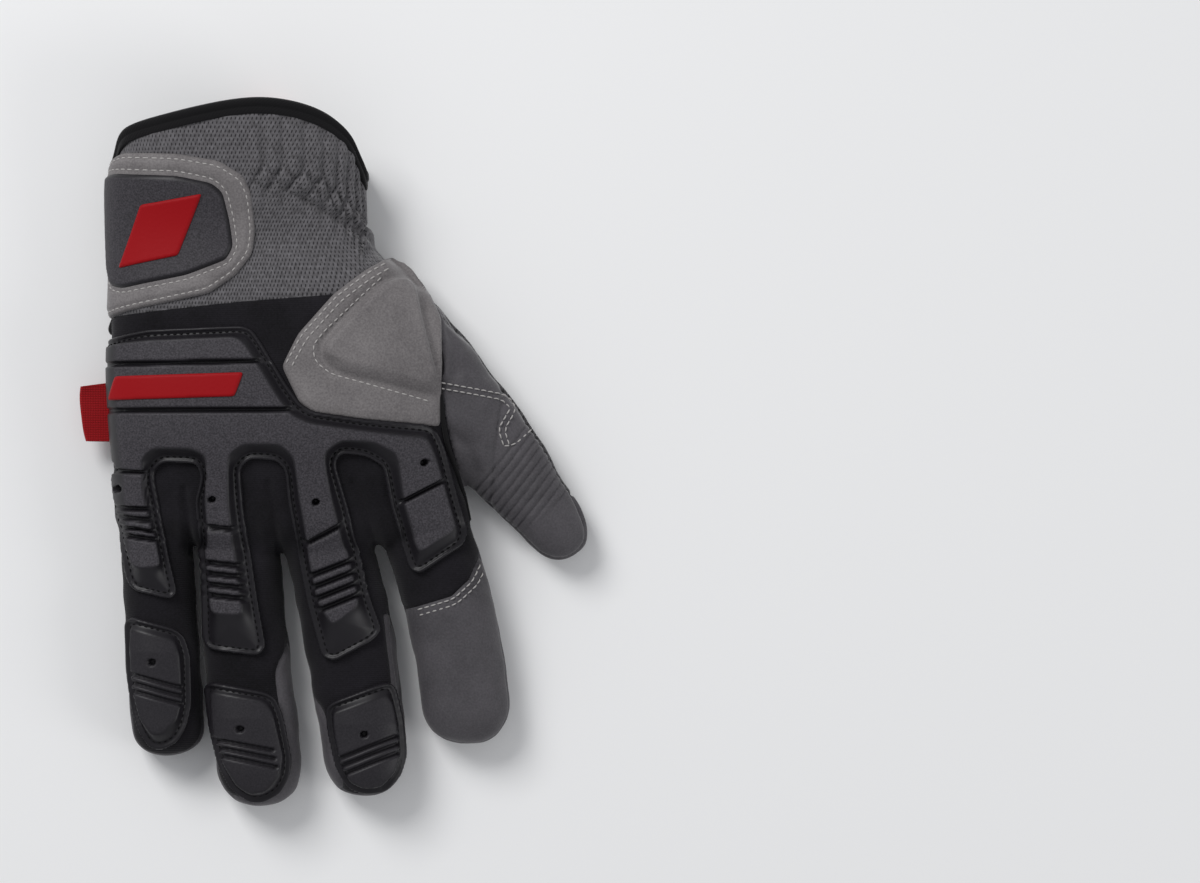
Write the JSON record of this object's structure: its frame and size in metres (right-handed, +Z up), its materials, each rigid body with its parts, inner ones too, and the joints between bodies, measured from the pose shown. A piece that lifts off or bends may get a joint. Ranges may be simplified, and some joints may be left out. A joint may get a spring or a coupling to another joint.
{
  "type": "impact work glove",
  "caption": "Full-finger work glove for a right hand, lying palm down, with moulded rubber knuckle and fingertip guards, suede palm pads and an open cuff.",
  "frame": {"origin": "middle of the glove's box at the level of the bench it lies on", "axes": "+Y from the fingertips to the cuff, +X towards the thumb, +Z up out of the back of the hand"},
  "size_m": [0.1746, 0.2418, 0.042],
  "materials": {
    "palm_leather": "dark gray synthetic leather, matte",
    "gray_leather": "warm gray synthetic leather, matte",
    "palm_suede": "black synthetic suede with light specks",
    "stretch_knit": "black stretch knit",
    "cuff_mesh": "gray air mesh",
    "thumb_mesh": "dark air mesh",
    "binding": "black woven edge binding",
    "guard_rubber": "dark gray moulded thermoplastic rubber, fine grain",
    "red_rubber": "red moulded rubber, satin",
    "red_webbing": "red woven polyester webbing"
  },
  "bodies": {
    "root": {"palm_leather": "palm_leather", "cuff_mesh": "cuff_mesh", "back_fabric": "stretch_knit", "pinky_front": "palm_leather", "pinky_back": "stretch_knit", "ring_front": "palm_leather", "ring_back": "stretch_knit", "middle_front": "palm_leather", "middle_back": "stretch_knit", "index_front": "palm_leather", "index_back": "stretch_knit", "index_wrap": "palm_leather", "thumb_top": "palm_leather", "thumb_inside": "palm_leather", "thumb_mesh": "thumb_mesh", "thumb_cap": "palm_leather", "cuff_binding": "binding", "knuckle_guard": "guard_rubber", "pinky_tip_guard": "guard_rubber", "ring_tip_guard": "guard_rubber", "middle_tip_guard": "guard_rubber", "wrist_tab": "gray_leather", "tab_patch": "guard_rubber", "tab_emblem": "red_rubber", "guard_stripe": "red_rubber", "thumb_saddle": "gray_leather", "saddle_pad": "gray_leather", "knuckle_pad": "palm_suede", "heel_pad": "palm_suede", "pull_loop": "red_webbing", "side_tag": "red_webbing"}
  },
  "joints": []
}
